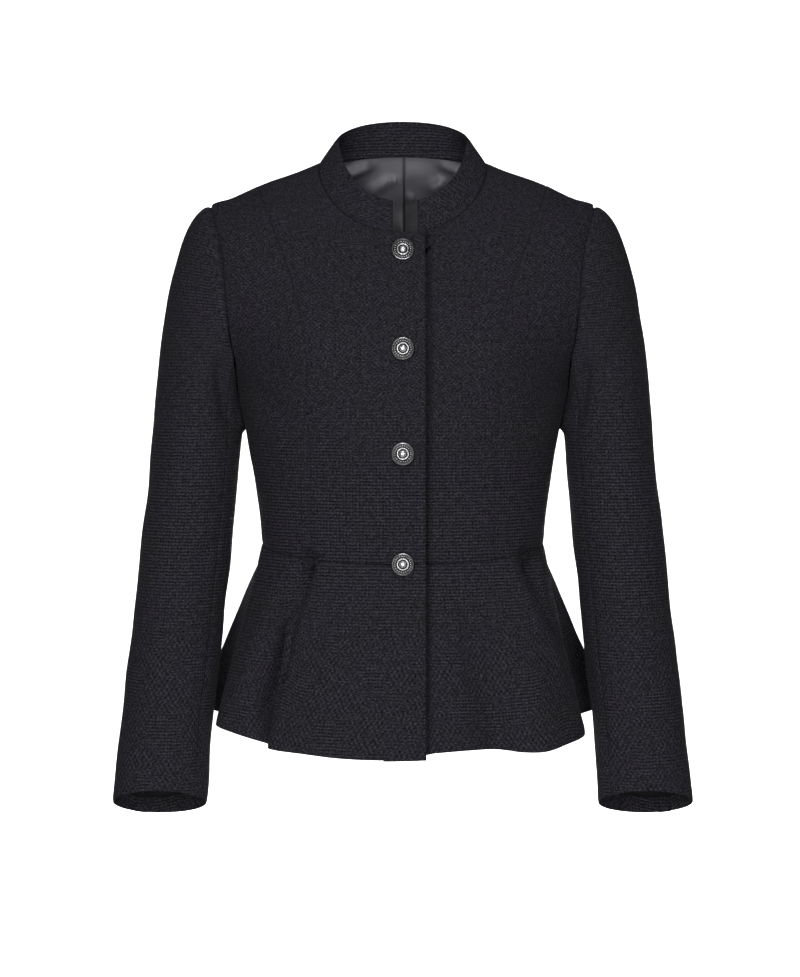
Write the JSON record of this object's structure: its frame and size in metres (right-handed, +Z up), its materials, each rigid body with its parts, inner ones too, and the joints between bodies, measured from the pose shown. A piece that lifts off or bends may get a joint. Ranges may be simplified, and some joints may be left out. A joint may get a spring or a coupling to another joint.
{
  "type": "peplum jacket",
  "caption": "Hollow fitted jacket with a stand collar, buttoned overlapping front, princess seams, waist seam, flared folded peplum and long open sleeves.",
  "frame": {"origin": "midway between the two side-neck points, where the shoulders carry the jacket", "axes": "+Z up, along the height; the front faces -Y; +X is the wearer's left"},
  "size_m": [0.5596, 0.3118, 0.6741],
  "materials": {
    "cloth": "matt near-black textured weave",
    "lining": "grey satin",
    "button_metal": "antiqued silver"
  },
  "bodies": {
    "root": {"front_right": "cloth", "front_left": "cloth", "side_front_right": "cloth", "side_front_left": "cloth", "back_right": "cloth", "back_left": "cloth", "peplum_front_right": "cloth", "peplum_front_left": "cloth", "peplum_back": "cloth", "collar": "cloth", "sleeve_upper_right": "cloth", "sleeve_under_right": "cloth", "sleeve_upper_left": "cloth", "sleeve_under_left": "cloth", "back_lining": "lining", "sleeve_lining_right": "lining", "sleeve_lining_left": "lining", "button_1": "button_metal", "button_2": "button_metal", "button_3": "button_metal", "button_4": "button_metal"}
  },
  "joints": []
}
